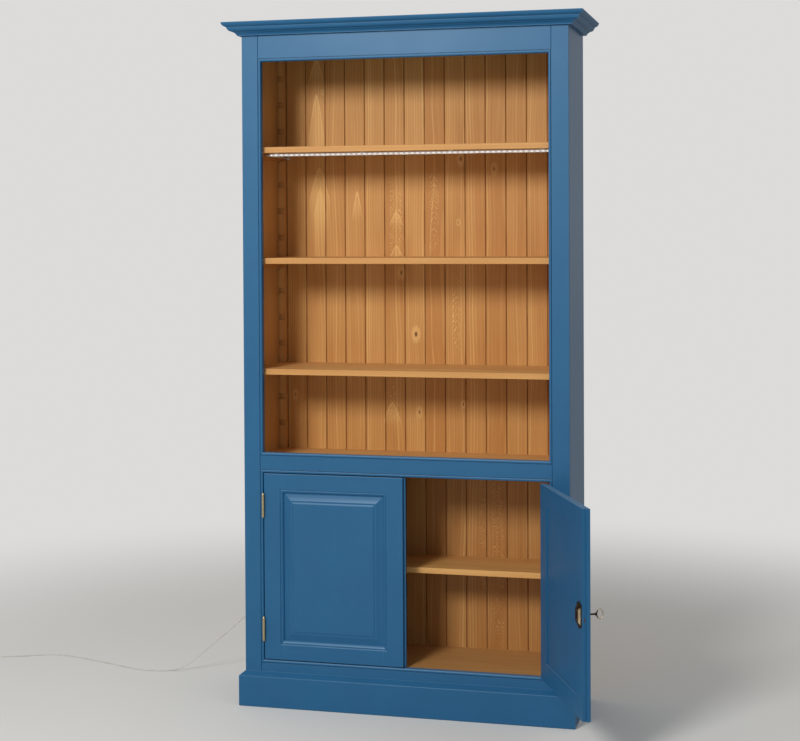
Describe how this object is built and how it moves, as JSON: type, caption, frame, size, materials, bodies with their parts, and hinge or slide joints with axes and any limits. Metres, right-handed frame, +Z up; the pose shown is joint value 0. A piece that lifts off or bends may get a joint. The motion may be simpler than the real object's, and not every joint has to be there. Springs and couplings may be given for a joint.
{
  "type": "bookcase with cabinet doors",
  "caption": "Tall painted bookcase with moulded cornice and plinth, open shelves on notched racks above and a lapped-door cupboard with lock below.",
  "frame": {"origin": "on the floor, at the centre of the carcass footprint", "axes": "+X to the right seen from the front, +Y to the back, +Z up"},
  "size_m": [2.2681, 0.8157, 2.1],
  "materials": {
    "blue_painted_pine": "satin blue paint on pine, waxed pine on the inside faces",
    "waxed_pine": "waxed",
    "brass": "satin",
    "aged_brass": "aged",
    "steel": "brushed",
    "white_plastic": "matte",
    "light_strip": "glossy, lit"
  },
  "bodies": {
    "carcass": {"back_boards": "waxed_pine", "bottom_board": "waxed_pine", "bottom_rail": "blue_painted_pine", "centre_bearer": "waxed_pine", "cornice_front": "blue_painted_pine", "cornice_returns": "blue_painted_pine", "door_stop": "waxed_pine", "frieze_rail": "blue_painted_pine", "hinge_frame_halves": "brass", "hinge_pins": "steel", "lead_clips": "white_plastic", "lead_grommet": "white_plastic", "light_channel": "white_plastic", "light_clips": "white_plastic", "light_lead": "white_plastic", "light_strip": "light_strip", "lower_bead": "blue_painted_pine", "lower_racks": "waxed_pine", "lower_shelf": "waxed_pine", "mains_lead": "white_plastic", "mains_lead_coil": "white_plastic", "middle_board": "waxed_pine", "middle_rail": "blue_painted_pine", "plinth_front": "blue_painted_pine", "plinth_returns": "blue_painted_pine", "plug": "white_plastic", "rear_base_rail": "waxed_pine", "shelf_bars": "waxed_pine", "side_panel_left": "blue_painted_pine", "side_panel_right": "blue_painted_pine", "slip_bolt_keep": "brass", "stile_left": "blue_painted_pine", "stile_right": "blue_painted_pine", "top_board": "blue_painted_pine", "upper_bead": "blue_painted_pine", "upper_racks": "waxed_pine", "upper_shelf_1": "waxed_pine", "upper_shelf_2": "waxed_pine", "upper_shelf_3": "waxed_pine"},
    "left_door": {"left_door_bottom_rail": "blue_painted_pine", "left_door_hinge_halves": "brass", "left_door_hinge_stile": "blue_painted_pine", "left_door_meeting_stile": "blue_painted_pine", "left_door_panel": "blue_painted_pine", "left_door_top_rail": "blue_painted_pine", "strike_plate": "brass", "slip_bolt_guide": "brass"},
    "right_door": {"right_door_bottom_rail": "blue_painted_pine", "right_door_hinge_halves": "brass", "right_door_hinge_stile": "blue_painted_pine", "right_door_meeting_stile": "blue_painted_pine", "right_door_panel": "blue_painted_pine", "right_door_top_rail": "blue_painted_pine", "lock_case": "aged_brass", "lock_plate": "aged_brass", "keyhole_escutcheon": "brass"},
    "slip_bolt": {"slip_bolt_rod": "brass"},
    "key": {"key": "aged_brass"},
    "lock_bolt": {"lock_bolt": "brass"}
  },
  "joints": [
    {"name": "left_door_swing", "type": "hinge", "parent": "carcass", "child": "left_door", "pos_m": [-0.44275, -0.1568, 0.43], "axis": [0, 0, -1], "range_deg": [0, 170]},
    {"name": "right_door_swing", "type": "hinge", "parent": "carcass", "child": "right_door", "pos_m": [0.44275, -0.1568, 0.43], "axis": [0, 0, 1], "range_deg": [-114.4, 55.6]},
    {"name": "slip_bolt_slide", "type": "slide", "parent": "left_door", "child": "slip_bolt", "axis": [0, 0, -1], "range_m": [0, 0.012]},
    {"name": "key_turn", "type": "hinge", "parent": "right_door", "child": "key", "pos_m": [0.59271, -0.53531, 0.427], "axis": [-0.9107, -0.4131, 0], "range_deg": [0, 70]},
    {"name": "lock_bolt_slide", "type": "slide", "parent": "right_door", "child": "lock_bolt", "axis": [0.4131, -0.9107, 0], "range_m": [0, 0.009]}
  ],
  "couplings": [
    {"joint": "lock_bolt_slide", "follows": "key_turn", "m_per_rad": 0.00736}
  ]
}
